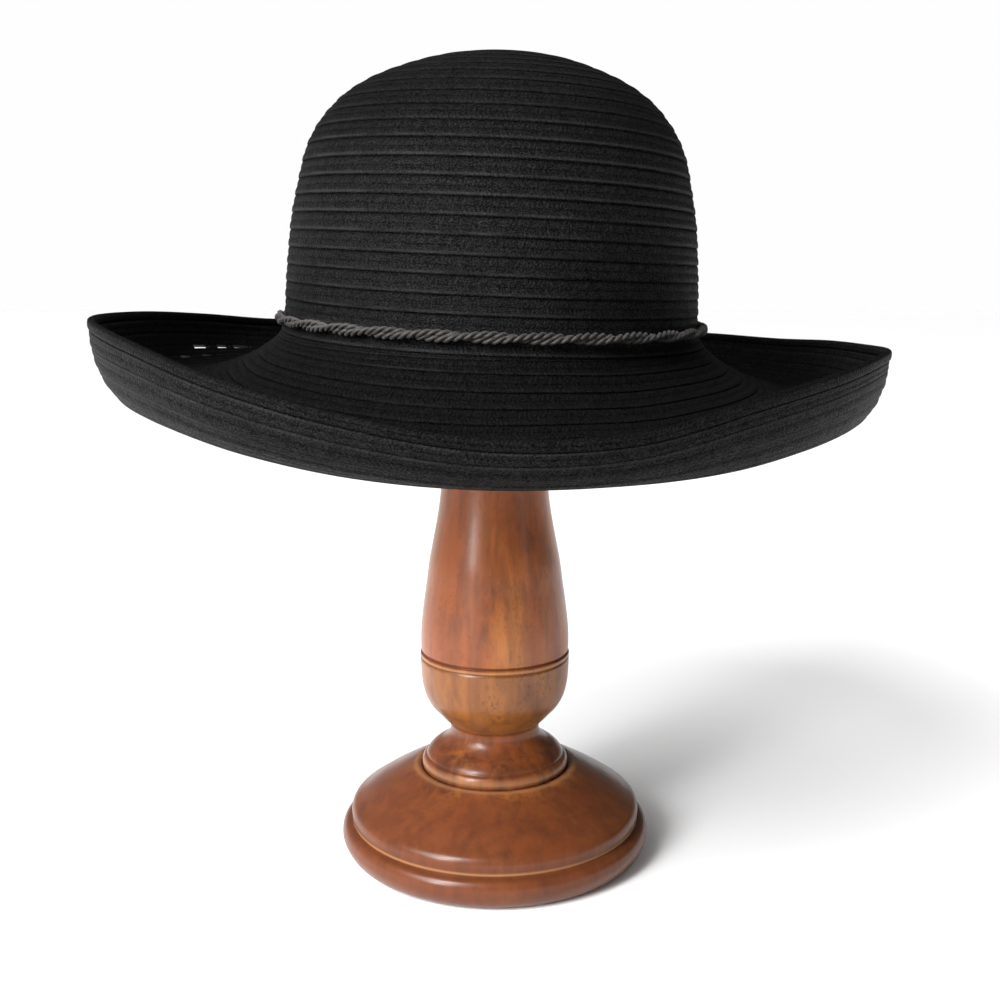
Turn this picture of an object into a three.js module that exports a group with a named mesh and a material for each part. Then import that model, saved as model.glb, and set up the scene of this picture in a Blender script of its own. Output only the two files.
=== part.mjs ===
import * as THREE from 'three';

// Sun hat of sewn braid, resting on the turned wooden stand that carries it.
// Millimetres, +Z up, the front of the hat at -Y, origin under the middle of the stand's foot.

// Hat, overall
const SEGMENTS = 32;
const WALL = 1.8;
const ROW_PITCH = 6.75;
const ROW_STEP = 0.5;
// where a row's sunk and proud edges lie, as shares of its width
const ROW_SUNK = 0.1;
const ROW_PROUD = 0.9;
const GAP = 0.35;
const HAT_HEIGHT_ABOVE_FLOOR = 235;
const HAT_SHIFT_X = -1.2;
const HAT_PITCH_DEG = 1.9;
const HAT_ROLL_DEG = 1.7;

// Crown
const CROWN_HALF_WIDTH = 86;
const CROWN_HALF_LENGTH = 99;
const CROWN_HEIGHT = 108.5;
const APEX_SHIFT = 2.4;
const APEX_SHIFT_POWER = 8;
const LINING_RINGS = 8;
const OUTLINE_STEPS = 6;
const LINING_TOP_SHARE = 0.88;
// [share of the crown's half width, share of the crown's height], from the band up
const CROWN_OUTLINE = [
  [1.0, 0.0],
  [0.995, 0.126],
  [0.985, 0.24],
  [0.966, 0.39],
  [0.928, 0.54],
  [0.903, 0.62],
  [0.865, 0.69],
  [0.808, 0.757],
  [0.716, 0.83],
  [0.565, 0.9],
  [0.315, 0.968],
  [0.0, 1.0],
];

// Brim
const BRIM_WIDTH = 75.5;
const BRIM_LEAN = 0.2;
const BRIM_ROWS = 15;
const BRIM_DEPTH = 41.8;
const FLARE_OUT = 2;
const FLARE_DROP_SHARE = 0.45;
const TROUGH_REACH = 22;
const WALL_ROUNDNESS = 2.2;
const SECTION_STEPS = 24;
const NORMAL_REACH = 0.012;
// the fitted section is the brim's upper side at the crown and its outer side at the wall
const SIDE_TURN_START = 0.1;
const SIDE_TURN_END = 0.55;
const ROWS_HIDDEN_ABOVE = 3;
const ROWS_HIDDEN_BELOW = 4;
// azimuth in degrees (0 right, 90 back, 180 left, 270 front); height of the rim and of the lowest
// line of the brim against the band, as shares of BRIM_DEPTH; place of that line, share of BRIM_WIDTH
const BRIM_TABLE = [
  [0, -0.108, -0.699, 0.795],
  [15, -0.144, -0.684, 0.768],
  [30, -0.203, -0.682, 0.742],
  [45, -0.222, -0.682, 0.715],
  [60, -0.239, -0.694, 0.702],
  [75, -0.249, -0.694, 0.702],
  [90, -0.251, -0.694, 0.702],
  [105, -0.249, -0.694, 0.702],
  [120, -0.239, -0.694, 0.702],
  [135, -0.203, -0.682, 0.702],
  [150, -0.115, -0.670, 0.715],
  [165, -0.048, -0.658, 0.728],
  [180, -0.012, -0.656, 0.742],
  [195, 0.012, -0.701, 0.742],
  [210, 0.012, -0.763, 0.742],
  [225, -0.067, -0.816, 0.715],
  [240, -0.239, -0.902, 0.689],
  [255, -0.414, -0.976, 0.662],
  [270, -0.541, -1.000, 0.649],
  [285, -0.498, -0.971, 0.675],
  [300, -0.275, -0.919, 0.728],
  [315, -0.132, -0.823, 0.768],
  [330, -0.048, -0.761, 0.795],
  [345, -0.067, -0.742, 0.808],
];

// Edge braid and cord band
const EDGE_WIDTH = 3.8;
const EDGE_THICKNESS = 2.8;
const EDGE_SIDES = 8;
const EDGE_SQUARENESS = 0.8;
const CORD_WIDTH = 4.2;
const CORD_THICKNESS = 3.2;
const CORD_HEIGHT = 0.9;
const CORD_SIDES = 6;
const CORD_STATIONS = 64;

// Stand
const STAND_SEGMENTS = 26;
const BASE_RADIUS = 69.4;
const SPINDLE_RADIUS = 33.2;
const KNOB_RADIUS = 48;
const SEAT_HEIGHT = 36.4;
const TENON_RADIUS = 12;
const TENON_LENGTH = 22;
const TOP_TENON_RADIUS = 12;
const TOP_TENON_LENGTH = 20;
const KNOB_TOP = 43.2;
const CROWN_CLEARANCE = 0.9;
// the knob carries the crown from inside, and the spindle reaches from the foot up to the knob
const KNOB_HEIGHT = HAT_HEIGHT_ABOVE_FLOOR + CROWN_HEIGHT - WALL - CROWN_CLEARANCE - KNOB_TOP;
const SPINDLE_START = SEAT_HEIGHT + GAP;
const SPINDLE_LENGTH = KNOB_HEIGHT - GAP - SPINDLE_START;
// [share of BASE_RADIUS, share of SEAT_HEIGHT] of the foot, from the floor up to the spindle
const BASE_OUTLINE = [
  [0.859, 0.0000],
  [0.919, 0.0220],
  [0.964, 0.0989],
  [0.996, 0.2253],
  [0.993, 0.3132],
  [0.971, 0.3846],
  [0.947, 0.4176],
  [0.932, 0.4203],
  [0.935, 0.4615],
  [0.937, 0.5165],
  [0.922, 0.5687],
  [0.895, 0.6126],
  [0.821, 0.7253],
  [0.692, 0.8654],
  [0.548, 1.0110],
  [0.519, 1.0330],
  [0.499, 1.0330],
  [0.481, 1.0137],
  [0.473, 1.0000],
];
// [share of SPINDLE_RADIUS, share of SPINDLE_LENGTH] from the collar up to the knob
const SPINDLE_OUTLINE = [
  [0.946, 0.0000],
  [0.970, 0.0033],
  [0.973, 0.0109],
  [0.961, 0.0194],
  [0.937, 0.0217],
  [0.919, 0.0255],
  [0.880, 0.0321],
  [0.828, 0.0374],
  [0.723, 0.0451],
  [0.657, 0.0528],
  [0.611, 0.0605],
  [0.596, 0.0681],
  [0.599, 0.0754],
  [0.611, 0.0800],
  [0.651, 0.0850],
  [0.702, 0.0912],
  [0.768, 0.1008],
  [0.864, 0.1146],
  [0.937, 0.1322],
  [0.979, 0.1545],
  [0.994, 0.1775],
  [1.000, 0.1967],
  [0.985, 0.1994],
  [1.000, 0.2029],
  [0.970, 0.2083],
  [0.988, 0.2129],
  [0.982, 0.2505],
  [0.946, 0.2942],
  [0.907, 0.3288],
  [0.870, 0.3630],
  [0.768, 0.4313],
  [0.726, 0.4655],
  [0.690, 0.5115],
  [0.614, 0.7226],
  [0.620, 0.9338],
  [0.681, 1.0000],
];
// [share of KNOB_RADIUS, share of KNOB_TOP] from the lower rim up
const KNOB_OUTLINE = [
  [0.880, 0.0000],
  [0.960, 0.0556],
  [1.0, 0.1852],
  [0.985, 0.3588],
  [0.900, 0.5556],
  [0.750, 0.7292],
  [0.530, 0.8704],
  [0.270, 0.9676],
];

const rad = (deg) => (deg * Math.PI) / 180;

const braidCloth = () =>
  new THREE.MeshStandardMaterial({ color: 0x232326, roughness: 0.85, metalness: 0, flatShading: true });
const cordCloth = () =>
  new THREE.MeshStandardMaterial({ color: 0x3d3a38, roughness: 0.9, metalness: 0, flatShading: true });
const turnedWood = () =>
  new THREE.MeshStandardMaterial({ color: 0x9a5a33, roughness: 0.35, metalness: 0, flatShading: true });

// Smooth curve through table points
function smooth(points, perSpan) {
  const out = [];
  const last = points.length - 1;
  for (let i = 0; i < last; i += 1) {
    const p0 = points[Math.max(i - 1, 0)];
    const p1 = points[i];
    const p2 = points[i + 1];
    const p3 = points[Math.min(i + 2, last)];
    for (let s = 0; s < perSpan; s += 1) {
      const t = s / perSpan;
      out.push(p1.map((v, c) => spline(p0[c], v, p2[c], p3[c], t)));
    }
  }
  out.push([...points[last]]);
  return out;
}

function spline(a, b, c, d, t) {
  const t2 = t * t;
  const t3 = t2 * t;
  return 0.5 * (2 * b + (c - a) * t + (2 * a - 5 * b + 4 * c - d) * t2 + (3 * b - a - 3 * c + d) * t3);
}

// Column of the brim table at an azimuth, read round the ring
function brimValue(phi, column) {
  const n = BRIM_TABLE.length;
  const x = (phi / (2 * Math.PI)) * n;
  const i = Math.floor(x);
  const pick = (k) => BRIM_TABLE[(i + k + n) % n][column];
  return spline(pick(-1), pick(0), pick(1), pick(2), x - i);
}

// Points of a line spread evenly along its length, each with the normal to its left
function sampler(line) {
  const length = [0];
  for (let i = 1; i < line.length; i += 1) {
    length.push(length[i - 1] + Math.hypot(line[i][0] - line[i - 1][0], line[i][1] - line[i - 1][1]));
  }
  const total = length[length.length - 1];
  const at = (u) => {
    const want = Math.min(Math.max(u, 0), 1) * total;
    let i = 1;
    while (i < line.length - 1 && length[i] < want) i += 1;
    const t = (want - length[i - 1]) / (length[i] - length[i - 1]);
    return [0, 1].map((c) => line[i - 1][c] + (line[i][c] - line[i - 1][c]) * t);
  };
  const normal = (u) => {
    const a = at(u - NORMAL_REACH);
    const b = at(u + NORMAL_REACH);
    const l = Math.hypot(b[0] - a[0], b[1] - a[1]);
    return [-(b[1] - a[1]) / l, (b[0] - a[0]) / l];
  };
  return { total, at, normal };
}

// Half section of the brim at an azimuth: distance out from the crown's oval, height above the band
function brimSection(phi) {
  const rimHeight = brimValue(phi, 1) * BRIM_DEPTH;
  const lowHeight = brimValue(phi, 2) * BRIM_DEPTH;
  const lowOut = brimValue(phi, 3) * BRIM_WIDTH;
  const rimOut = BRIM_WIDTH - BRIM_LEAN * Math.cos(phi);
  const line = [];
  for (let i = 0; i < SECTION_STEPS; i += 1) {
    const t = i / SECTION_STEPS;
    const b = 3 * t * (1 - t) ** 2;
    const c = 3 * t * t * (1 - t);
    const d = t ** 3;
    line.push([
      b * FLARE_OUT + c * (lowOut - TROUGH_REACH) + d * lowOut,
      b * FLARE_DROP_SHARE * lowHeight + c * lowHeight + d * lowHeight,
    ]);
  }
  for (let i = 0; i <= SECTION_STEPS; i += 1) {
    const a = ((i / SECTION_STEPS) * Math.PI) / 2;
    const out = Math.sin(a) ** (2 / WALL_ROUNDNESS);
    const up = 1 - Math.cos(a) ** (2 / WALL_ROUNDNESS);
    line.push([lowOut + (rimOut - lowOut) * out, lowHeight + (rimHeight - lowHeight) * up]);
  }
  return sampler(line);
}

// Point of the hat: on the crown's oval scaled by a share, moved out along the oval's normal
function ovalPoint(phi, share, out, height) {
  const nx = Math.cos(phi) / CROWN_HALF_WIDTH;
  const ny = Math.sin(phi) / CROWN_HALF_LENGTH;
  const n = Math.hypot(nx, ny);
  const rise = Math.max(height / CROWN_HEIGHT, 0);
  return new THREE.Vector3(
    CROWN_HALF_WIDTH * share * Math.cos(phi) + (out * nx) / n + APEX_SHIFT * rise ** APEX_SHIFT_POWER,
    CROWN_HALF_LENGTH * share * Math.sin(phi) + (out * ny) / n,
    height,
  );
}

const azimuths = (count) => Array.from({ length: count }, (_, i) => (i * 2 * Math.PI) / count);

// Closed solid from rings of equal count; a pole closes an end, without poles the rings close on themselves
function ringSolid(rings, poles) {
  const n = rings[0].length;
  const position = [];
  const index = [];
  const put = (p) => position.push(p.x, p.y, p.z);
  rings.forEach((ring) => ring.forEach(put));
  const bands = poles ? rings.length - 1 : rings.length;
  for (let r = 0; r < bands; r += 1) {
    const a = r * n;
    const b = ((r + 1) % rings.length) * n;
    for (let i = 0; i < n; i += 1) {
      const j = (i + 1) % n;
      index.push(a + i, a + j, b + j, a + i, b + j, b + i);
    }
  }
  if (poles) {
    const first = rings.length * n;
    const last = (rings.length - 1) * n;
    put(poles[0]);
    put(poles[1]);
    for (let i = 0; i < n; i += 1) {
      const j = (i + 1) % n;
      index.push(first, j, i);
      index.push(first + 1, last + i, last + j);
    }
  }
  const geometry = new THREE.BufferGeometry();
  geometry.setAttribute('position', new THREE.Float32BufferAttribute(position, 3));
  geometry.setIndex(faceOut(position, index));
  geometry.computeVertexNormals();
  return geometry;
}

// Turn the faces so that the enclosed volume comes out positive
function faceOut(position, index) {
  const at = (i) => new THREE.Vector3(position[3 * i], position[3 * i + 1], position[3 * i + 2]);
  let volume = 0;
  for (let i = 0; i < index.length; i += 3) {
    volume += at(index[i]).dot(at(index[i + 1]).cross(at(index[i + 2])));
  }
  if (volume > 0) return index;
  const turned = [];
  for (let i = 0; i < index.length; i += 3) turned.push(index[i], index[i + 2], index[i + 1]);
  return turned;
}

// Crown: ribbed outside, smooth inside, ending one braid row under the band
function crownGeometry() {
  const outline = smooth(CROWN_OUTLINE, OUTLINE_STEPS).map(([k, h]) => [k * CROWN_HALF_WIDTH, h * CROWN_HEIGHT]);
  const line = sampler(outline);
  const rows = Math.round(line.total / ROW_PITCH);
  const phis = azimuths(SEGMENTS);
  const sections = phis.map(brimSection);
  const rings = [];
  const wallRing = (u, step) => {
    const [k, h] = line.at(u);
    const [nx, nz] = line.normal(u);
    return phis.map((phi) => ovalPoint(phi, k / CROWN_HALF_WIDTH, -nx * step, h - nz * step));
  };
  const footRing = (share, step) =>
    phis.map((phi, i) => {
      const u = share * (1 / BRIM_ROWS - GAP / 2 / sections[i].total);
      const [out, h] = sections[i].at(u);
      const [nx, nz] = sections[i].normal(u);
      return ovalPoint(phi, 1, out + nx * step, h + nz * step);
    });
  for (let row = rows - 1; row >= 0; row -= 1) {
    if (row < rows - 1) rings.push(wallRing((row + ROW_PROUD) / rows, 0));
    rings.push(wallRing((row + ROW_SUNK) / rows, ROW_STEP));
  }
  rings.push(footRing(ROW_SUNK, 0));
  rings.push(footRing(1, ROW_STEP));
  rings.push(footRing(1, -WALL));
  for (let i = 1; i <= LINING_RINGS; i += 1) {
    rings.push(wallRing((i / LINING_RINGS) * LINING_TOP_SHARE, -WALL));
  }
  const top = ovalPoint(0, 0, 0, CROWN_HEIGHT);
  const under = ovalPoint(0, 0, 0, CROWN_HEIGHT - WALL);
  return ringSolid(rings, [top, under]);
}

// Brim: flares out of the crown and turns up to the rim, the rows showing on the side that faces out
function brimGeometry() {
  const phis = azimuths(SEGMENTS);
  const sections = phis.map(brimSection);
  const endShare = (i) => 1 - (EDGE_WIDTH + GAP) / sections[i].total;
  const startShare = (i) => 1 / BRIM_ROWS + GAP / 2 / sections[i].total;
  const ring = (t, side, step) =>
    phis.map((phi, i) => {
      const u = startShare(i) + (endShare(i) - startShare(i)) * t;
      const [out, h] = sections[i].at(u);
      const [nx, nz] = sections[i].normal(u);
      const turn = THREE.MathUtils.smoothstep(t, SIDE_TURN_START, SIDE_TURN_END);
      const move = side > 0 ? WALL * turn + step : WALL * (turn - 1) - step;
      return ovalPoint(phi, 1, out + nx * move, h + nz * move);
    });
  const rows = BRIM_ROWS - 1;
  const upper = [];
  const lower = [];
  for (let row = 0; row < rows; row += 1) {
    const sunk = (row + ROW_SUNK) / rows;
    const proud = (row + ROW_PROUD) / rows;
    upper.push(ring(row === 0 ? 0 : sunk, 1, 0));
    if (row < rows - ROWS_HIDDEN_ABOVE) upper.push(ring(proud, 1, ROW_STEP));
    if (row >= ROWS_HIDDEN_BELOW) lower.push(ring(sunk, -1, ROW_STEP));
    lower.push(ring(proud, -1, 0));
  }
  upper.push(ring(1, 1, 0));
  lower.push(ring(1, -1, 0));
  lower.unshift(ring(0, -1, 0));
  return ringSolid([...upper, ...lower.reverse()]);
}

// Edge braid: one rounded strip that follows the rim
function edgeGeometry() {
  const phis = azimuths(SEGMENTS);
  const sections = phis.map(brimSection);
  const rings = azimuths(EDGE_SIDES).map((a) =>
    phis.map((phi, i) => {
      const along = (EDGE_WIDTH / 2) * roundSide(Math.cos(a));
      const across = WALL / 2 + (EDGE_THICKNESS / 2) * roundSide(Math.sin(a));
      const u = 1 - EDGE_WIDTH / 2 / sections[i].total;
      const [out, h] = sections[i].at(u);
      const [nx, nz] = sections[i].normal(u);
      return ovalPoint(phi, 1, out + nz * along + nx * across, h - nx * along + nz * across);
    }),
  );
  return ringSolid(rings);
}

const roundSide = (v) => Math.sign(v) * Math.abs(v) ** EDGE_SQUARENESS;

// Cord band: a plain ring round the crown, just clear of its rows
function cordGeometry() {
  const phis = azimuths(CORD_STATIONS);
  const out = ROW_STEP + GAP + CORD_THICKNESS / 2;
  const rings = azimuths(CORD_SIDES).map((a) => {
    const across = out + (CORD_THICKNESS / 2) * Math.cos(a);
    const height = CORD_HEIGHT + (CORD_WIDTH / 2) * Math.sin(a);
    return phis.map((phi) => ovalPoint(phi, 1, across, height));
  });
  return ringSolid(rings);
}

// Turned pieces of the stand
function turned(profile) {
  const points = profile.map(([r, z]) => new THREE.Vector2(r, z));
  const geometry = new THREE.LatheGeometry(points, STAND_SEGMENTS);
  geometry.rotateX(Math.PI / 2);
  return geometry;
}

function baseGeometry() {
  const outline = BASE_OUTLINE.map(([k, z]) => [k * BASE_RADIUS, z * SEAT_HEIGHT]);
  const socket = TENON_RADIUS + GAP;
  const floor = SEAT_HEIGHT - TENON_LENGTH - GAP;
  return turned([[0, 0], ...outline, [socket, SEAT_HEIGHT], [socket, floor], [0, floor]]);
}

function spindleGeometry() {
  const outline = SPINDLE_OUTLINE.map(([k, z]) => [k * SPINDLE_RADIUS, SPINDLE_START + z * SPINDLE_LENGTH]);
  const head = SPINDLE_START + SPINDLE_LENGTH;
  return turned([
    [0, SEAT_HEIGHT - TENON_LENGTH],
    [TENON_RADIUS, SEAT_HEIGHT - TENON_LENGTH],
    [TENON_RADIUS, SPINDLE_START],
    ...outline,
    [TOP_TENON_RADIUS, head],
    [TOP_TENON_RADIUS, head + TOP_TENON_LENGTH],
    [0, head + TOP_TENON_LENGTH],
  ]);
}

function knobGeometry() {
  const outline = KNOB_OUTLINE.map(([k, z]) => [k * KNOB_RADIUS, KNOB_HEIGHT + z * KNOB_TOP]);
  const socket = TOP_TENON_RADIUS + GAP;
  const roof = KNOB_HEIGHT + TOP_TENON_LENGTH + GAP;
  return turned([[0, roof], [socket, roof], [socket, KNOB_HEIGHT], ...outline, [0, KNOB_HEIGHT + KNOB_TOP]]);
}

// Hat pieces tipped a little forward and to the right, as the hat rests on its stand
const hatPlace = new THREE.Matrix4()
  .makeRotationFromEuler(new THREE.Euler(rad(HAT_PITCH_DEG), rad(HAT_ROLL_DEG), 0, 'XYZ'))
  .setPosition(HAT_SHIFT_X, 0, HAT_HEIGHT_ABOVE_FLOOR);

const part = new THREE.Group();
part.name = 'sun_hat';

function add(name, geometry, material, place) {
  if (place) geometry.applyMatrix4(place);
  const mesh = new THREE.Mesh(geometry, material);
  mesh.name = name;
  part.add(mesh);
}

add('crown', crownGeometry(), braidCloth(), hatPlace);
add('brim', brimGeometry(), braidCloth(), hatPlace);
add('brim_edge', edgeGeometry(), braidCloth(), hatPlace);
add('cord_band', cordGeometry(), cordCloth(), hatPlace);
add('stand_base', baseGeometry(), turnedWood());
add('stand_spindle', spindleGeometry(), turnedWood());
add('stand_knob', knobGeometry(), turnedWood());

export default part;
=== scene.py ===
import math

import bmesh
import bpy
import numpy as np
from mathutils import Euler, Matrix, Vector


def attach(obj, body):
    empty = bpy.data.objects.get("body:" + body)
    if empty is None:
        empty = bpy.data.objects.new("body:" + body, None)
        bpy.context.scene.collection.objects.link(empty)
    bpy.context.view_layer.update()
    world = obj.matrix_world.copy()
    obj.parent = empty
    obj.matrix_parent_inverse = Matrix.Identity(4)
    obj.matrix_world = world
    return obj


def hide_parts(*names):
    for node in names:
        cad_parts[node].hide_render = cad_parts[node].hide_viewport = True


bl_info = {
    "name": "Braid sun hat on a turned stand",
    "version": (1, 0, 0),
    "blender": (4, 5, 0),
    "location": "View3D > Sidebar > Sun hat",
    "description": "Builds a sewn braid sun hat with its cord on a turned wooden hat stand",
    "category": "Object",
}

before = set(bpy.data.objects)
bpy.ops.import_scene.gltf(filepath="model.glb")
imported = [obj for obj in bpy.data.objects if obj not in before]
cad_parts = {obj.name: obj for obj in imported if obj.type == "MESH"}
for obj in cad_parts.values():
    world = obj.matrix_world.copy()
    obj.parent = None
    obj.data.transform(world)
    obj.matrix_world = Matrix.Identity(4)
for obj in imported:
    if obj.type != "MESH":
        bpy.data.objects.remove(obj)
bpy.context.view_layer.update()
MM = 0.001

# Where the hat sits: tipped a little forward and to the right of the stand
HAT_PLACE = Vector((-1.2, 0.0, 235.0)) * MM
HAT_TURN = Euler((math.radians(1.9), math.radians(1.7), 0.0), "XYZ")

# Half outline of the crown from the cord up: share of the half width, share of the height
CROWN_OUTLINE = (
    (1.0, 0.0),
    (0.995, 0.126),
    (0.985, 0.24),
    (0.966, 0.39),
    (0.928, 0.54),
    (0.903, 0.62),
    (0.865, 0.69),
    (0.808, 0.757),
    (0.716, 0.83),
    (0.565, 0.9),
    (0.315, 0.968),
    (0.0, 1.0),
)
APEX_SHIFT_POWER = 8
OUTLINE_STEPS = 12

# Every 15 degrees from the right, by the back, left and front: height of the rim and of the lowest
# line against the cord, as shares of the brim's depth, and the place of that line across the brim
BRIM_TABLE = (
    (-0.108, -0.699, 0.795),
    (-0.144, -0.684, 0.768),
    (-0.203, -0.682, 0.742),
    (-0.222, -0.682, 0.715),
    (-0.239, -0.694, 0.702),
    (-0.249, -0.694, 0.702),
    (-0.251, -0.694, 0.702),
    (-0.249, -0.694, 0.702),
    (-0.239, -0.694, 0.702),
    (-0.203, -0.682, 0.702),
    (-0.115, -0.670, 0.715),
    (-0.048, -0.658, 0.728),
    (-0.012, -0.656, 0.742),
    (0.012, -0.701, 0.742),
    (0.012, -0.763, 0.742),
    (-0.067, -0.816, 0.715),
    (-0.239, -0.902, 0.689),
    (-0.414, -0.976, 0.662),
    (-0.541, -1.0, 0.649),
    (-0.498, -0.971, 0.675),
    (-0.275, -0.919, 0.728),
    (-0.132, -0.823, 0.768),
    (-0.048, -0.761, 0.795),
    (-0.067, -0.742, 0.808),
)
RIM_UP, LOW_UP, LOW_OUT = range(3)

BRIM_ROWS = 15
# Ropes of plait stitches side by side in a braid row
ROPES = 2
CROWN_COLUMNS, BRIM_COLUMNS, EDGE_COLUMNS = 256, 340, 540

# Light slits between rows at the back left: row, first and last column out of BRIM_COLUMNS, and how
# many stations wider the slit is on the underside
SLITS = (
    (11, 144, 148, 0),
    (11, 139, 142, 1),
    (11, 134, 138, 4),
    (10, 150, 154, 3),
    (10, 144, 148, 3),
)
# Stations from a slit's lapped edge to where it starts on the outside and ends on the underside
SLIT_OVER, SLIT_UNDER = 4, 5

# The brim's section: the curve that flares out of the crown starts towards FLARE_OUT and a share of the
# drop, and runs level from TROUGH_REACH before the lowest line; the outer wall then turns up to the rim
FLARE_OUT = 2.0
FLARE_DROP_SHARE = 0.45
TROUGH_REACH = 22.0
WALL_ROUNDNESS = 2.2
SECTION_STEPS = 24
# Shares of the brim between which the wall passes from the inside of that section to its outside
SIDE_TURN = (0.1, 0.55)

# Free gaps of the brim to the crown and to the edge braid, and the stretch on each side of the cord in
# which the surface turns from crown to brim, in mm
SEAM_GAP, EDGE_GAP, SEAM_BLEND = 0.02, 0.03, 3.0
# Sections that a row's girth is averaged over, and the girth's smallest share, at the apex
GIRTH_SAMPLES, SMALLEST_SHARE = 12, 0.02

# Painted shade: how much of its shine, lap highlights and groove darkening the braid loses where it faces up
# or down, and at the edge
SHADE_UP, SHADE_DOWN, SHADE_SLOPE = 0.68, 0.35, (0.1, 0.6)
EDGE_SHADE = 0.8

# Turned wood, in mm: radii of foot, cup and knob as drawn, and of the tenons and their sockets
FOOT_RADIUS, CUP_RADIUS, KNOB_RADIUS = 69.1, 33.2, 48.0
TENON_RADIUS, SOCKET_RADIUS = 12.0, 12.35
SPAN_STEPS = 5
# Heights in metres between which the wood's tone changes
CUP_STARTS, CUP_ENDS = (0.0565, 0.0585), (0.0885, 0.0905)
NECK_ENDS, FOOT_ENDS = (0.054, 0.058), (0.034, 0.038)

# Studio, in metres: name, place, width, height and power of the soft lights, which share one aim
SOFT_LIGHTS = (
    ("key_softbox", (-0.8, -0.96, 0.85), 0.28, 1.1, 27.0),
    ("fill_panel", (1.09, -0.71, 0.55), 0.1, 0.9, 0.6),
    ("top_panel", (0.2, 0.1, 2.0), 1.6, 1.6, 14.0),
)
LIGHT_AIM = Vector((0.0, 0.0, 0.2))
DAYLIGHT_POWER, DAYLIGHT_ANGLE, DAYLIGHT_WAY = 2.4, 35.0, Vector((0.95, 0.85, -1.05))
CAMERA_PLACE, CAMERA_TILT = (0.00233, -0.51775, 0.2487), 9.926
LENS, SENSOR = 43.2, 36.0
FLOOR_SIZE, FLOOR_DROP = 14.0, 0.0003


class HatSizes(bpy.types.PropertyGroup):
    """Sizes of the hat in millimetres"""

    crown_half_width: bpy.props.FloatProperty(
        name="Crown half width", description="Half the crown's width at the cord, in mm", default=86.0
    )
    crown_half_length: bpy.props.FloatProperty(
        name="Crown half length", description="Half the crown's length at the cord, in mm", default=99.0
    )
    crown_height: bpy.props.FloatProperty(
        name="Crown height", description="Height of the crown over the cord, in mm", default=108.5
    )
    apex_shift: bpy.props.FloatProperty(
        name="Apex shift", description="How far the crown's top leans to the right, in mm", default=2.4
    )
    brim_width: bpy.props.FloatProperty(
        name="Brim width", description="Reach of the brim outside the crown, in mm", default=75.5
    )
    brim_depth: bpy.props.FloatProperty(
        name="Brim depth", description="Drop of the brim's lowest line under the cord, in mm", default=41.8
    )
    wall: bpy.props.FloatProperty(name="Wall", description="Thickness of the braid wall, in mm", default=1.3)
    row_pitch: bpy.props.FloatProperty(
        name="Row pitch", description="Width of one braid row that shows, in mm", default=6.75
    )
    row_step: bpy.props.FloatProperty(
        name="Row step", description="How far a row's lapped edge stands proud, in mm", default=0.78
    )
    stitch: bpy.props.FloatProperty(
        name="Plait stitch", description="Length of one plait stitch along the braid, in mm", default=1.8
    )
    edge_width: bpy.props.FloatProperty(
        name="Edge braid width", description="Width of the folded edge braid, in mm", default=3.9
    )
    edge_thickness: bpy.props.FloatProperty(
        name="Edge braid thickness", description="Thickness of the folded edge braid, in mm", default=2.8
    )
    strand_radius: bpy.props.FloatProperty(
        name="Strand radius", description="Radius of one strand of the cord, in mm", default=0.68
    )


class HatColours(bpy.types.PropertyGroup):
    """Colours of the braid and the cord"""

    braid: bpy.props.FloatVectorProperty(
        name="Braid",
        description="Colour of the braid",
        subtype="COLOR",
        size=3,
        default=(0.003, 0.003, 0.0032),
    )
    # Lighter colour of stitch tops and laps: partly wear, partly painted highlight
    braid_light: bpy.props.FloatVectorProperty(
        name="Braid, worn strands",
        description="Colour of the strands that catch the light",
        subtype="COLOR",
        size=3,
        default=(0.013, 0.0128, 0.0138),
    )
    cord: bpy.props.FloatVectorProperty(
        name="Cord",
        description="Colour of the twisted cord",
        subtype="COLOR",
        size=3,
        default=(0.026, 0.0228, 0.0206),
    )


class StandSizes(bpy.types.PropertyGroup):
    """Sizes of the turned stand in millimetres"""

    base_radius: bpy.props.FloatProperty(
        name="Foot radius", description="Largest radius of the foot, in mm", default=FOOT_RADIUS
    )
    spindle_radius: bpy.props.FloatProperty(
        name="Spindle radius", description="Radius of the cup at its groove, in mm", default=CUP_RADIUS
    )
    knob_radius: bpy.props.FloatProperty(
        name="Knob radius", description="Radius of the hidden knob, in mm", default=KNOB_RADIUS
    )
    turning_steps: bpy.props.IntProperty(
        name="Turning steps", description="Steps round a turned piece", default=144
    )


class StandColours(bpy.types.PropertyGroup):
    """Colours of the lacquered wood"""

    dark: bpy.props.FloatVectorProperty(
        name="Dark grain",
        description="Colour of the dark grain",
        subtype="COLOR",
        size=3,
        default=(0.085, 0.026, 0.012),
    )
    middle: bpy.props.FloatVectorProperty(
        name="Wood",
        description="Main colour of the wood",
        subtype="COLOR",
        size=3,
        default=(0.245, 0.063, 0.0145),
    )
    light: bpy.props.FloatVectorProperty(
        name="Light grain",
        description="Colour of the light grain",
        subtype="COLOR",
        size=3,
        default=(0.37, 0.127, 0.028),
    )


# Small helpers


def smooth_curve(points, per_span):
    """A smooth curve through the points, as an array"""
    p = np.array(points, dtype=float)
    out = []
    last = len(p) - 1
    for i in range(last):
        a, b, c, d = p[max(i - 1, 0)], p[i], p[i + 1], p[min(i + 2, last)]
        for s in range(per_span):
            t = s / per_span
            out.append(spline(a, b, c, d, t))
    out.append(p[last])
    return np.array(out)


def spline(a, b, c, d, t):
    t2 = t * t
    t3 = t2 * t
    return 0.5 * (2 * b + (c - a) * t + (2 * a - 5 * b + 4 * c - d) * t2 + (3 * b - a - 3 * c + d) * t3)


def smoothstep(x, low, high):
    t = np.clip((x - low) / (high - low), 0.0, 1.0)
    return t * t * (3 - 2 * t)


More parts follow.
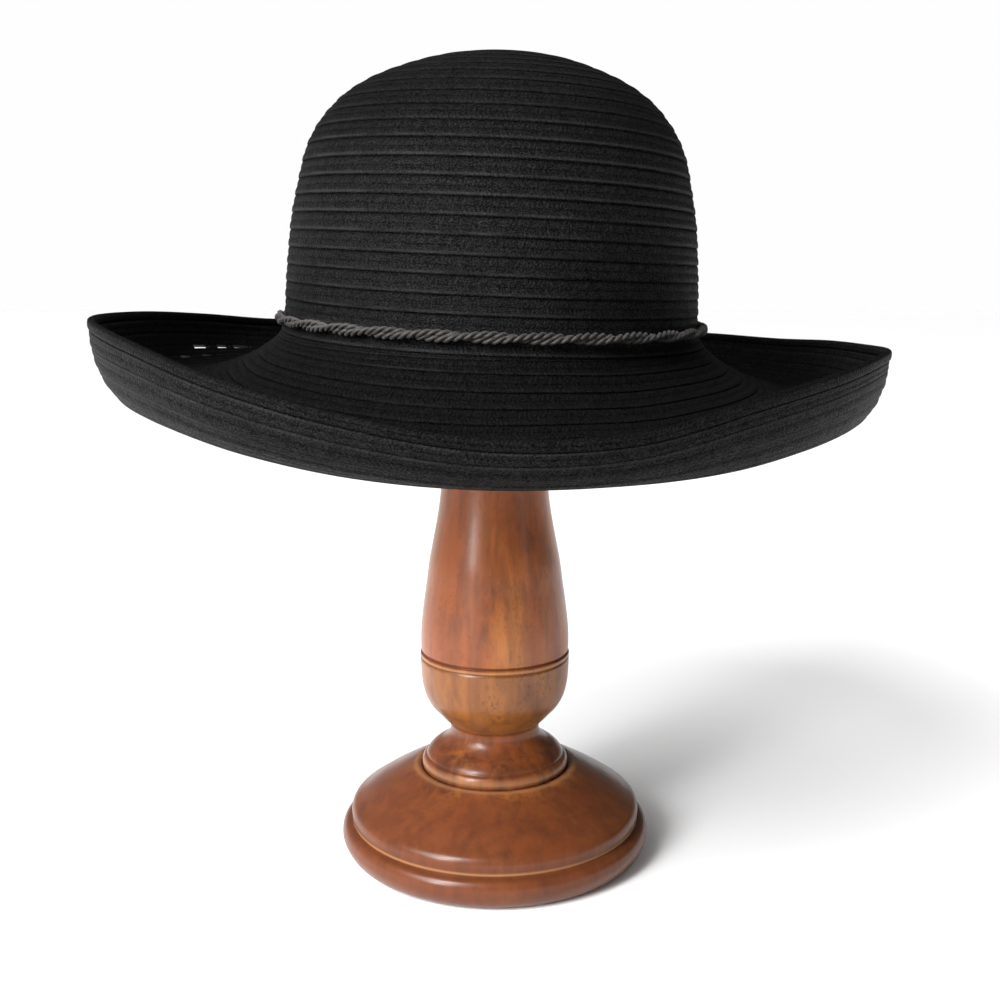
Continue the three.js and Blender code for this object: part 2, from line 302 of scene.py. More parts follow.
class Track:
    """A line in the plane read by share of its length, with the normal to its left"""

    def __init__(self, line):
        self.line = line
        steps = np.hypot(*np.diff(line, axis=0).T)
        self.length = np.concatenate([[0.0], np.cumsum(steps)])
        self.total = self.length[-1]

    def at(self, u):
        want = np.clip(u, 0.0, 1.0) * self.total
        return np.stack([np.interp(want, self.length, self.line[:, c]) for c in (0, 1)], axis=-1)

    def normal(self, u, reach=0.012):
        d = self.at(u + reach) - self.at(u - reach)
        d /= np.linalg.norm(d, axis=-1, keepdims=True)
        return np.stack([-d[..., 1], d[..., 0]], axis=-1)


def brim_value(phi, column):
    """A column of the brim table at an azimuth, read round the ring"""
    n = len(BRIM_TABLE)
    x = (phi / (2 * math.pi) * n) % n
    i = int(math.floor(x))
    a, b, c, d = (BRIM_TABLE[(i + k) % n][column] for k in (-1, 0, 1, 2))
    return spline(a, b, c, d, x - i)


def brim_track(phi, sizes):
    """Half section of the brim: out from the crown's oval, up from the cord"""
    rim = brim_value(phi, RIM_UP) * sizes.brim_depth
    low = brim_value(phi, LOW_UP) * sizes.brim_depth
    out = brim_value(phi, LOW_OUT) * sizes.brim_width
    t = np.arange(SECTION_STEPS) / SECTION_STEPS
    b, c, d = 3 * t * (1 - t) ** 2, 3 * t * t * (1 - t), t**3
    flare_out = b * FLARE_OUT + c * (out - TROUGH_REACH) + d * out
    flare_up = b * FLARE_DROP_SHARE * low + c * low + d * low
    flare = np.stack([flare_out, flare_up], axis=-1)
    a = np.linspace(0, math.pi / 2, SECTION_STEPS + 1)
    wall_out = out + (sizes.brim_width - out) * np.sin(a) ** (2 / WALL_ROUNDNESS)
    wall_up = low + (rim - low) * (1 - np.cos(a) ** (2 / WALL_ROUNDNESS))
    return Track(np.concatenate([flare, np.stack([wall_out, wall_up], axis=-1)]))


def crown_track(sizes):
    """Half outline of the crown from the cord to the apex"""
    outline = smooth_curve(CROWN_OUTLINE, OUTLINE_STEPS)
    return Track(outline * (sizes.crown_half_width, sizes.crown_height))


def oval_points(phi, share, out, height, sizes):
    """Points on the crown's oval, scaled by a share and moved out along its normal, in mm"""
    nx = np.cos(phi) / sizes.crown_half_width
    ny = np.sin(phi) / sizes.crown_half_length
    n = np.hypot(nx, ny)
    rise = np.clip(height / sizes.crown_height, 0.0, None)
    lean = sizes.apex_shift * rise**APEX_SHIFT_POWER
    x = sizes.crown_half_width * share * np.cos(phi) + out * nx / n + lean
    y = sizes.crown_half_length * share * np.sin(phi) + out * ny / n
    return np.stack([x, y, np.broadcast_to(height, x.shape)], axis=-1)


def place_on_stand(points):
    """Hat points in mm to the row frame in metres"""
    turn = np.array(HAT_TURN.to_matrix())
    return points @ turn.T * MM + np.array(HAT_PLACE)


def finish_piece(bm, name, material, replaces, smooth_angle=None):
    """Makes the object, gives it its material and hangs it on the frame"""
    mesh = bpy.data.meshes.new(name)
    bm.to_mesh(mesh)
    bm.free()
    piece = bpy.data.objects.new(name, mesh)
    bpy.context.scene.collection.objects.link(piece)
    mesh.materials.append(material)
    mesh.shade_smooth()
    if smooth_angle:
        mesh.set_sharp_from_angle(angle=math.radians(smooth_angle))
    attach(piece, "root")
    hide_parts(*replaces)


def laid_grid(bm, points):
    """Adds a grid whose vertices take the given points; returns each vertex's column and station"""
    columns, stations = points.shape[0] - 1, points.shape[1] - 1
    grid = bmesh.ops.create_grid(bm, x_segments=columns, y_segments=stations, size=1.0)
    place = {}
    for v in grid["verts"]:
        place[v] = (round((v.co.x + 1) / 2 * columns), round((v.co.y + 1) / 2 * stations))
        v.co = points[place[v]]
    return place


def grid_piece(points, along, across, slits=(), weld=1e-6):
    """A grid whose vertices take the given points; along and across give each face's braid coordinates.
    A slit is (first column, last column, then first and last station on each side of the wall)"""
    bm = bmesh.new()
    uv = bm.loops.layers.uv.new("braid")
    place = laid_grid(bm, points)
    open_faces = [[] for _ in slits]
    for face in bm.faces:
        cells = [place[v] for v in face.verts]
        i = min(c[0] for c in cells)
        j = min(c[1] for c in cells)
        for loop, (column, station) in zip(face.loops, cells):
            loop[uv].uv = (along[column, j], across[column, j][1 if station > j else 0])
        for faces, (first, last, a, b, c, d) in zip(open_faces, slits):
            if first <= i < last and (a <= j < b or c <= j < d):
                faces.append(face)
    bmesh.ops.remove_doubles(bm, verts=bm.verts, dist=weld)
    bmesh.ops.dissolve_degenerate(bm, dist=weld, edges=bm.edges)
    for faces in open_faces:
        cut_slit(bm, [face for face in faces if face.is_valid])
    bmesh.ops.recalc_face_normals(bm, faces=bm.faces)
    bm.normal_update()
    # Painted shade: faces that look up or down get less shine and flatter marks in the braid
    shade = bm.verts.layers.float.new("shade")
    up = np.array([v.normal.z for v in bm.verts])
    amounts = 1.0 - SHADE_UP * smoothstep(up, *SHADE_SLOPE)
    amounts -= SHADE_DOWN * smoothstep(-up, *SHADE_SLOPE)
    for v, amount in zip(bm.verts, amounts):
        v[shade] = amount
    return bm


def cut_slit(bm, faces):
    """Opens the wall where both sides' faces are taken out, and closes the slit's four walls"""
    edges = {edge for face in faces for edge in face.edges}
    bmesh.ops.delete(bm, geom=faces, context="FACES")
    rim = [edge for edge in edges if edge.is_valid and edge.is_boundary]
    bmesh.ops.bridge_loops(bm, edges=rim)


# Braid


class Spiral:
    """One spiral of braid rows from a start to an end length, one row further out with each turn"""

    # shares across a row at which the wall has a station, on a side that shows and on a hidden one
    FINE = (0.0, 0.09, 0.22, 0.35, 0.5, 0.65, 0.77, 0.91, 1.0)
    COARSE = (0.0, 0.12, 0.6, 1.0)
    # shares of the row step: where a row comes out, how much it climbs, its lapped edge and its ropes
    OUT_AT, CLIMB, LAPPED_EDGE, ROPE_HEIGHT = 0.12, 0.5, 0.5, 0.34
    ROPE_ROUNDNESS = 0.8

    def __init__(self, start, end, pitch, step):
        self.start, self.end, self.pitch, self.step = start, end, pitch, step
        self.rows = int(math.ceil((end - start) / pitch)) + 1

    def rise(self, across):
        """Height of a row's surface: tucked in at 0, lapping proud at 1, with two ropes side by side"""
        slope = self.OUT_AT + self.CLIMB * across
        rope = self.ROPE_HEIGHT * np.abs(np.sin(ROPES * math.pi * across)) ** self.ROPE_ROUNDNESS
        lapped = np.where(across >= 1.0, self.LAPPED_EDGE, slope + rope)
        return self.step * np.where(across <= 0.0, 0.0, lapped)

    def stations(self, turn, shares):
        """(length, share across, relative row width, row) at every station, for a share of a turn"""
        out = []
        for row in range(self.rows + 1):
            a = self.start + self.pitch * (row - 1 + turn)
            b = a + self.pitch
            low, high = (min(max(s, self.start), self.end) for s in (a, b))
            width = (high - low) / self.pitch
            for share in shares:
                out.append((low + (high - low) * share, share, width, row))
        return np.array(out)


def braid_lengths(spiral, girth):
    """Braid sewn before each row, in mm, so that stitches run on from row to row"""
    rows = np.arange(spiral.rows + 2)
    middle = np.clip(spiral.start + spiral.pitch * (rows - 0.5), spiral.start, spiral.end)
    return np.concatenate([[0.0], np.cumsum([girth(s) for s in middle])]), [girth(s) for s in middle]


def oval_girth(a, b):
    h = ((a - b) / (a + b)) ** 2
    return math.pi * (a + b) * (1 + 3 * h / (10 + math.sqrt(4 - 3 * h)))


def hat_surface(sizes, phis):
    """Returns point(i, s, lift), the hat's surface at column i, a length s down from the apex, lifted out,
    and girth(s), its length round the hat there"""
    crown = crown_track(sizes)
    brims = [brim_track(phi, sizes) for phi in phis]
    brim_length = BRIM_ROWS * sizes.row_pitch

    def point(i, s, lift):
        phi = np.full(s.shape, phis[i])
        u_crown = 1 - np.clip(s / crown.total, 0.0, 1.0)
        u_brim = np.clip((s - crown.total) / brim_length, 0.0, 1.0)
        c, cn = crown.at(u_crown), -crown.normal(u_crown)
        b, bn = brims[i].at(u_brim), brims[i].normal(u_brim)
        on_brim = s > crown.total
        blend = smoothstep(s, crown.total - SEAM_BLEND, crown.total + SEAM_BLEND)[:, None]
        normal = cn * (1 - blend) + bn * blend
        share = np.where(on_brim, 1.0, c[:, 0] / sizes.crown_half_width)
        out = np.where(on_brim, b[:, 0], 0.0) + normal[:, 0] * lift
        height = np.where(on_brim, b[:, 1], c[:, 1]) + normal[:, 1] * lift
        return oval_points(phi, share, out, height, sizes)

    def girth(s):
        half_width = crown.at(1 - min(s / crown.total, 1.0))[0]
        share = max(half_width / sizes.crown_half_width, SMALLEST_SHARE)
        some = brims[:: len(brims) // GIRTH_SAMPLES]
        out = np.mean([track.at(max(s - crown.total, 0.0) / brim_length)[0] for track in some])
        girth_mm = oval_girth(sizes.crown_half_width * share, sizes.crown_half_length * share)
        return girth_mm + 2 * math.pi * (out if s > crown.total else 0.0)

    return point, girth


def braid_wall(name, sizes, start, end, columns, pole, share_of_turn, inside, node, slits=()):
    """A wall of spiral braid rows: outer side, lip, inner side, and at the other end a lip or a pole"""
    phis = [2 * math.pi * i / columns for i in range(columns + 1)]
    point, girth = hat_surface(sizes, phis)
    spiral = Spiral(start, end, sizes.row_pitch, sizes.row_step)
    sewn, girths = braid_lengths(spiral, girth)
    lip_share = share_of_turn(np.array([start, end]))
    points, along, across = [], [], []
    for i in range(columns + 1):
        turn = i / columns
        ring, faces_u, faces_v = [], [], []
        for side, shares in ((1, Spiral.FINE), (-1, inside)):
            s, share, width, row = spiral.stations(turn, shares).T
            row = row.astype(int)
            if side > 0:
                lift = sizes.wall * share_of_turn(s) + spiral.rise(share) * width
            else:
                lift = sizes.wall * (share_of_turn(s) - 1) - spiral.rise(1 - share) * width
            ring.append(point(i, s, lift)[::side])
            faces_u.append(((sewn[row] + np.array(girths)[row] * turn) / sizes.stitch)[::side])
            faces_v.append(share[::side])
        lip = point(i, np.array([end]), np.array([sizes.wall * lip_share[1]]))
        under_lip = point(i, np.array([end]), np.array([sizes.wall * (lip_share[1] - 1)]))
        ring = [ring[0], lip, under_lip, ring[1]]
        u = np.concatenate([faces_u[0], faces_u[0][-1:], faces_u[1][:1], faces_u[1]])
        v = np.concatenate([faces_v[0], [1.0, 1.0], faces_v[1]])
        if not pole:
            start_under = point(i, np.array([start]), np.array([sizes.wall * (lip_share[0] - 1)]))
            start_over = point(i, np.array([start]), np.array([sizes.wall * lip_share[0]]))
            ring += [start_under, start_over, ring[0][:1]]
            u = np.concatenate([u, [u[0]] * 3])
            v = np.concatenate([v, [0.0, 0.0, 0.0]])
        points.append(np.concatenate(ring))
        along.append(u)
        across.append(np.stack([v[:-1], v[1:]], axis=-1))
    fine = len(Spiral.FINE)
    far = 2 * fine * (spiral.rows + 1) + 1
    holes = []
    for row, first, last, wide in slits:
        lap = fine * (row + 1)
        holes.append((first, last, lap - SLIT_OVER, lap - 1, far - lap + 1, far - lap + SLIT_UNDER + wide))
    bm = grid_piece(place_on_stand(np.array(points)), np.array(along), np.array(across), holes)
    # The brim and the edge get a copy of the braid in painted shade
    names = ("black_sewn_braid", braid_material) if pole else ("black_sewn_braid_brim", brim_braid_material)
    material = shared_material(*names, bpy.context.scene.hat_colours)
    finish_piece(bm, name, material, smooth_angle=50, replaces=(node,))


# Materials


def new_material(name):
    material = bpy.data.materials.new(name)
    material.use_nodes = True
    tree = material.node_tree
    return material, tree, tree.nodes["Principled BSDF"]


def shader_node(tree, kind, **settings):
    node = tree.nodes.new(kind)
    for key, value in settings.items():
        setattr(node, key, value)
    return node


def math_node(tree, operation, *inputs, clamp=False):
    """A Math node; each input is a number or a socket"""
    node = shader_node(tree, "ShaderNodeMath", operation=operation, use_clamp=clamp)
    for socket, value in zip(node.inputs, inputs):
        if isinstance(value, (int, float)):
            socket.default_value = value
        else:
            tree.links.new(value, socket)
    return node.outputs[0]


def times(tree, a, b, clamp=False):
    return math_node(tree, "MULTIPLY", a, b, clamp=clamp)


def plus(tree, a, b, clamp=False):
    return math_node(tree, "ADD", a, b, clamp=clamp)


def times_plus(tree, a, b, c):
    """a times b, plus c"""
    return math_node(tree, "MULTIPLY_ADD", a, b, c)


def inverse(tree, value):
    """1 minus a value"""
    return math_node(tree, "SUBTRACT", 1.0, value)


def mix_colour(tree, factor, a, b):
    """A colour Mix node; a and b are colours or sockets"""
    node = shader_node(tree, "ShaderNodeMix", data_type="RGBA")
    for socket, value in ((node.inputs[0], factor), (node.inputs[6], a), (node.inputs[7], b)):
        if isinstance(value, bpy.types.NodeSocket):
            tree.links.new(value, socket)
        elif isinstance(value, (int, float)):
            socket.default_value = value
        else:
            socket.default_value = (*value, 1.0)
    return node.outputs[2]


def noise(tree, vector, scale, detail=4.0, roughness=0.55, distortion=0.0):
    node = shader_node(tree, "ShaderNodeTexNoise")
    tree.links.new(vector, node.inputs["Vector"])
    node.inputs["Scale"].default_value = scale
    node.inputs["Detail"].default_value = detail
    node.inputs["Roughness"].default_value = roughness
    node.inputs["Distortion"].default_value = distortion
    return node.outputs[0]


def ramp(tree, value, low, high):
    node = shader_node(tree, "ShaderNodeMapRange", interpolation_type="SMOOTHSTEP")
    tree.links.new(value, node.inputs["Value"])
    node.inputs["From Min"].default_value = low
    node.inputs["From Max"].default_value = high
    return node.outputs["Result"]


def stretched(tree, vector, scale):
    node = shader_node(tree, "ShaderNodeMapping")
    tree.links.new(vector, node.inputs["Vector"])
    node.inputs["Scale"].default_value = scale
    return node.outputs["Vector"]


def bump(tree, bsdf, height, distance, strength=1.0):
    """Raises the surface by a height times the distance, in mm"""
    node = shader_node(tree, "ShaderNodeBump")
    node.inputs["Strength"].default_value = strength
    node.inputs["Distance"].default_value = distance * MM
    tree.links.new(height, node.inputs["Height"])
    tree.links.new(node.outputs[0], bsdf.inputs["Normal"])


def brim_braid_material(colours):
    """The brim's braid: the crown's braid in painted shade, with less of its light colour and shine"""
    return braid_material(colours, "black_sewn_braid_brim", 0.74)


def braid_material(colours, name="black_sewn_braid", painted_light_share=1.0):
    """Black plaited braid: two ropes of slanting stitches to a row, fine fibres, stitches lighter from wear
    and painted highlight, painted highlights on the laps, painted shade in grooves and hollows
    """
    material, tree, bsdf = new_material(name)
    uv = shader_node(tree, "ShaderNodeUVMap", uv_map="braid")
    split = shader_node(tree, "ShaderNodeSeparateXYZ")
    tree.links.new(uv.outputs["UV"], split.inputs[0])
    along, across = split.outputs[0], split.outputs[1]
    coords = shader_node(tree, "ShaderNodeTexCoord").outputs["Object"]

    ropes = times(tree, across, float(ROPES))
    rope_number = math_node(tree, "FLOOR", math_node(tree, "MINIMUM", ropes, ROPES - 0.001))
    over_rope = math_node(tree, "SUBTRACT", ropes, rope_number)
    lean = times_plus(tree, math_node(tree, "MODULO", rope_number, 2.0), -2.0, 1.0)
    slant = times(tree, times(tree, lean, over_rope), 0.9)
    wander = times(tree, noise(tree, coords, scale=380.0, detail=2.0), 2.2)
    phase = plus(tree, plus(tree, along, wander), slant)
    stitch_number = math_node(tree, "FLOOR", phase)
    in_stitch = math_node(tree, "FRACT", phase)
    lobe = math_node(tree, "ABSOLUTE", times_plus(tree, in_stitch, 2.0, -1.0))
    stitch = inverse(tree, math_node(tree, "POWER", lobe, 2.2))
    half = math_node(tree, "ABSOLUTE", times_plus(tree, over_rope, 2.0, -1.0))
    rope = inverse(tree, math_node(tree, "POWER", half, 2.6))
    relief = times(tree, stitch, times_plus(tree, rope, 0.8, 0.2))

    pair = shader_node(tree, "ShaderNodeCombineXYZ")
    tree.links.new(stitch_number, pair.inputs[0])
    tree.links.new(rope_number, pair.inputs[1])
    chance = shader_node(tree, "ShaderNodeTexWhiteNoise", noise_dimensions="2D")
    tree.links.new(pair.outputs[0], chance.inputs["Vector"])
    odd = chance.outputs["Value"]

    fibre = noise(tree, coords, scale=1500.0, detail=3.0)
    patch = noise(tree, coords, scale=24.0, detail=3.0)
    fine = noise(tree, stretched(tree, coords, (1.0, 1.0, 1.7)), scale=1500.0, detail=2.0)
    grain = ramp(tree, fine, 0.44, 0.58)
    height = times(tree, relief, times_plus(tree, odd, 0.5, 0.15))
    height = plus(tree, height, times(tree, fibre, 1.3))
    height = plus(tree, height, times(tree, fine, 1.8))

    # Lighter stitch tops at random stitches and patches: partly wear, partly painted highlight
    wear_and_highlight = times(tree, ramp(tree, relief, 0.3, 0.9), ramp(tree, odd, 0.35, 1.0))
    wear_and_highlight = times(tree, wear_and_highlight, ramp(tree, patch, 0.25, 0.75))
    wear_and_highlight = times(tree, wear_and_highlight, grain)
    wear_and_highlight = math_node(tree, "MAXIMUM", wear_and_highlight, times(tree, grain, 0.5))
    # Painted highlight along each row's lapped edge, weaker where the shade attribute paints shade
    shade = shader_node(tree, "ShaderNodeAttribute", attribute_name="shade").outputs["Fac"]
    proud = times(tree, inverse(tree, ramp(tree, across, 0.92, 0.97)), shade)
    lap = times(tree, ramp(tree, across, 0.76, 0.86), proud)
    lap = times(tree, lap, ramp(tree, noise(tree, coords, scale=30.0, detail=2.0), 0.3, 0.6))
    # Painted shade where a row tucks under, along its lapped edge and on the seam between its ropes, broken
    # up by noise
    tucked = inverse(tree, ramp(tree, across, 0.02, 0.16))
    groove = math_node(tree, "MAXIMUM", ramp(tree, across, 0.94, 0.99), tucked)
    off_seam = math_node(tree, "ABSOLUTE", math_node(tree, "SUBTRACT", across, 0.5))
    seam = inverse(tree, ramp(tree, off_seam, 0.01, 0.07))
    groove = math_node(tree, "MAXIMUM", groove, times(tree, seam, 0.7))
    broken = ramp(tree, noise(tree, coords, scale=170.0, detail=3.0), 0.36, 0.6)
    groove = times(tree, groove, times_plus(tree, broken, 0.55, 0.1))
    groove = times(tree, groove, times_plus(tree, shade, 0.75, 0.1))
    wear_and_highlight = math_node(tree, "MAXIMUM", wear_and_highlight, lap)
    base = mix_colour(tree, wear_and_highlight, tuple(colours.braid), tuple(painted_light_share * c for c in colours.braid_light))
    # Painted shade: darker in the hollows between stitches and in the grooves
    hollow = math_node(tree, "SUBTRACT", ramp(tree, relief, 0.02, 0.4), groove, clamp=True)
    colour = mix_colour(tree, hollow, tuple(0.2 * c for c in colours.braid), base)
    shine = times_plus(tree, inverse(tree, groove), 0.1, 0.01)
    spark = plus(tree, lap, times(tree, odd, 0.4))
    spark = plus(tree, spark, times(tree, grain, 1.15))
    shine = times(tree, shine, plus(tree, spark, 0.2))
    shine = times(tree, times(tree, shine, shade), painted_light_share)
    tree.links.new(shine, bsdf.inputs["Specular IOR Level"])
    tree.links.new(colour, bsdf.inputs["Base Color"])
    rough = times_plus(tree, fibre, 0.25, 0.38)
    tree.links.new(rough, bsdf.inputs["Roughness"])
    bump(tree, bsdf, height, 0.3)
    return material


def cord_material(colours):
    """Dark grey-brown twisted cord with fine fibres"""
    material, tree, bsdf = new_material("grey_twisted_cord")
    coords = shader_node(tree, "ShaderNodeTexCoord").outputs["Object"]
    fibre = noise(tree, stretched(tree, coords, (1.0, 1.0, 2.2)), scale=1300.0, detail=3.0)
    patch = noise(tree, coords, scale=90.0, detail=3.0)
    light = tuple(min(1.9 * c, 1.0) for c in colours.cord)
    dark = tuple(0.4 * c for c in colours.cord)
    base = mix_colour(tree, ramp(tree, patch, 0.3, 0.72), tuple(colours.cord), light)
    tree.links.new(mix_colour(tree, ramp(tree, fibre, 0.3, 0.6), dark, base), bsdf.inputs["Base Color"])
    bsdf.inputs["Roughness"].default_value = 0.62
    bsdf.inputs["Sheen Weight"].default_value = 0.1
    bump(tree, bsdf, fibre, 0.12)
    return material


def wood_material(colours):
    """Lacquered hardwood: upright grain, red and golden patches, small flecks, painted highlights that are
    partly wear on edges and crests, painted shade in grooves and creases
    """
    material, tree, bsdf = new_material("lacquered_turned_wood")
    coords = shader_node(tree, "ShaderNodeTexCoord").outputs["Object"]
    height = shader_node(tree, "ShaderNodeSeparateXYZ")
    tree.links.new(coords, height.inputs[0])
    z = height.outputs[2]
    upright = stretched(tree, coords, (1.0, 1.0, 0.07))
    grain = noise(tree, upright, scale=150.0, detail=7.0, roughness=0.62, distortion=0.4)
    patch = noise(tree, stretched(tree, coords, (1.0, 1.0, 0.3)), scale=30.0, distortion=0.6)
    flecks = noise(tree, stretched(tree, coords, (1.0, 1.0, 0.6)), scale=850.0, detail=2.0)
    fleck_zones = noise(tree, coords, scale=60.0, detail=2.0)

    cup = times(tree, ramp(tree, z, *CUP_STARTS), inverse(tree, ramp(tree, z, *CUP_ENDS)))
    low = inverse(tree, ramp(tree, z, *NECK_ENDS))
    foot = inverse(tree, ramp(tree, z, *FOOT_ENDS))
    tone = times_plus(tree, patch, 1.3, -0.22)
    tone = plus(tree, tone, times(tree, cup, 0.2))
    calm = times_plus(tree, foot, -0.6, 1.0)
    light = times(tree, ramp(tree, tone, 0.34, 0.66), calm)
    base = mix_colour(tree, light, tuple(colours.middle), tuple(colours.light))
    base = mix_colour(tree, times(tree, cup, 0.6), base, (0.16, 0.06, 0.015))
    blotch = noise(tree, stretched(tree, coords, (1.0, 1.0, 0.45)), scale=75.0, detail=4.0, roughness=0.6)
    shade = times(tree, inverse(tree, ramp(tree, grain, 0.38, 0.6)), 0.4)
    shade = plus(tree, shade, times(tree, ramp(tree, blotch, 0.5, 0.66), 0.35))
    shade = times(tree, shade, calm)
    lower = times_plus(tree, low, 0.44, times(tree, foot, 0.24))
    shade = plus(tree, shade, lower, clamp=True)
    base = mix_colour(tree, shade, base, tuple(colours.dark))
    fleck = times(tree, ramp(tree, flecks, 0.55, 0.64), ramp(tree, fleck_zones, 0.38, 0.6))
    fleck = times(tree, fleck, times_plus(tree, cup, 0.3, 0.3))
    base = mix_colour(tree, fleck, base, tuple(colours.dark))

    # Painted light from the lines of each turned piece: painted highlight, partly wear, where positive, and
    # painted shade where negative
    painted_light_and_wear = shader_node(tree, "ShaderNodeAttribute", attribute_name="painted_light_and_wear")
    wear_and_highlight = times(tree, painted_light_and_wear.outputs["Fac"], 1.0, clamp=True)
    painted_shade = times(tree, painted_light_and_wear.outputs["Fac"], -1.0, clamp=True)
    base = mix_colour(tree, times(tree, wear_and_highlight, 0.6), base, (0.5, 0.25, 0.11))
    base = mix_colour(tree, painted_shade, base, tuple(0.6 * c for c in colours.dark))
    tree.links.new(base, bsdf.inputs["Base Color"])
    rough = times_plus(tree, grain, 0.25, 0.22)
    tree.links.new(rough, bsdf.inputs["Roughness"])
    tree.links.new(times_plus(tree, low, -0.12, 0.26), bsdf.inputs["Specular IOR Level"])
    bsdf.inputs["Coat Weight"].default_value = 0.32
    bsdf.inputs["Coat Roughness"].default_value = 0.24
    pores = math_node(tree, "SUBTRACT", grain, times(tree, fleck, 0.5))
    bump(tree, bsdf, pores, 0.12, strength=0.6)
    return material


def floor_material():
    """White studio floor that glows faintly further out: painted light that keeps the far floor white"""
    material, tree, bsdf = new_material("white_studio_floor")
    bsdf.inputs["Base Color"].default_value = (0.95, 0.95, 0.95, 1.0)
    bsdf.inputs["Roughness"].default_value = 0.9
    bsdf.inputs["Specular IOR Level"].default_value = 0.1
    coords = shader_node(tree, "ShaderNodeTexCoord").outputs["Object"]
    reach = shader_node(tree, "ShaderNodeVectorMath", operation="LENGTH")
    tree.links.new(coords, reach.inputs[0])
    # Painted light: a faint glow that grows with distance from the stand
    bsdf.inputs["Emission Color"].default_value = (1.0, 1.0, 1.0, 1.0)
    glow = times(tree, ramp(tree, reach.outputs["Value"], 0.6, 2.4), 0.07)
    tree.links.new(glow, bsdf.inputs["Emission Strength"])
    return material


def shared_material(name, make, colours):
    """The material of that name, made once"""
    return bpy.data.materials.get(name) or make(colours)


# Turned wood


def turned_piece(name, spans, sizes, lines, node):
    """Spins a half outline round the stand's axis. Spans are smooth stretches of (radius, height) that meet
    in corners; a line is (radius, height, spread, amount) of painted highlight that is partly wear, or of
    painted shade where it is negative"""
    outline = [spans[0][0]]
    for span in spans:
        outline += [tuple(p) for p in smooth_curve(span, SPAN_STEPS if len(span) > 2 else 1)][1:]
    bm = bmesh.new()
    verts = [bm.verts.new((r * MM, 0.0, z * MM)) for r, z in outline]
    edges = [bm.edges.new(pair) for pair in zip(verts, verts[1:])]
    bmesh.ops.spin(
        bm,
        geom=verts + edges,
        cent=(0, 0, 0),
        axis=(0, 0, 1),
        dvec=(0, 0, 0),
        angle=2 * math.pi,
        steps=sizes.turning_steps,
        use_merge=True,
        use_duplicate=False,
    )
    bmesh.ops.remove_doubles(bm, verts=bm.verts, dist=1e-6)
    bmesh.ops.recalc_face_normals(bm, faces=bm.faces)
    painted_light_and_wear = bm.verts.layers.float.new("painted_light_and_wear")
    for v in bm.verts:
        reach = math.hypot(v.co.x, v.co.y) / MM
        high = v.co.z / MM
        v[painted_light_and_wear] = sum(
            amount * math.exp(-((reach - r) ** 2 + (high - z) ** 2) / spread**2)
            for r, z, spread, amount in lines
        )
    material = shared_material("lacquered_turned_wood", wood_material, bpy.context.scene.stand_colours)
    finish_piece(bm, name, material, smooth_angle=38, replaces=(node,))


class STAND_OT_base(bpy.types.Operator):
    """Turns the foot: a half-round edge, a small bead and a low dome up to the seat"""

    bl_idname = "stand.base"
    bl_label = "Turned foot"

    def execute(self, context):
        sizes = context.scene.stand_sizes
        r = sizes.base_radius / FOOT_RADIUS
        seat, socket_floor = 36.4, 14.05
        spans = (
            ((0.0, 0.0), (59.6 * r, 0.0)),
            (
                (59.6 * r, 0.0),
                (64.2 * r, 0.5),
                (67.2 * r, 2.8),
                (69.1 * r, 7.0),
                (69.0 * r, 10.2),
                (68.0 * r, 12.3),
                (66.6 * r, 13.4),
                (65.4 * r, 13.8),
                (64.7 * r, 13.9),
            ),
            (
                (64.7 * r, 13.9),
                (64.7 * r, 14.6),
                (64.8 * r, 15.8),
                (64.9 * r, 17.2),
                (64.9 * r, 18.6),
                (64.4 * r, 20.1),
                (63.5 * r, 21.3),
                (62.1 * r, 22.4),
                (60.0 * r, 23.8),
                (57.0 * r, 25.9),
                (53.0 * r, 28.5),
                (48.0 * r, 31.4),
                (43.0 * r, 34.2),
                (38.0 * r, 36.75),
                (36.0 * r, 37.5),
                (34.6, 37.65),
                (33.6, 37.5),
                (33.0, 37.15),
            ),
            ((33.0, 37.15), (32.85, seat)),
            ((32.85, seat), (SOCKET_RADIUS, seat)),
            ((SOCKET_RADIUS, seat), (SOCKET_RADIUS, socket_floor)),
            ((SOCKET_RADIUS, socket_floor), (0.0, socket_floor)),
        )
        # Painted highlights on the dome's lower edge and on the crest by the seat; painted shade in the cove,
        # in the crease at the seat and at the bottom by the floor
        lines = (
            (64.7 * r, 14.8, 0.55, 0.9),
            (66.2 * r, 13.4, 1.2, -0.25),
            (35.7, 37.6, 1.3, 0.5),
            (33.0, 37.0, 0.5, -0.15),
            (60.5 * r, 0.2, 2.0, -0.5),
        )
        turned_piece("stand_foot", spans, sizes, lines, "stand_base")
        return {"FINISHED"}


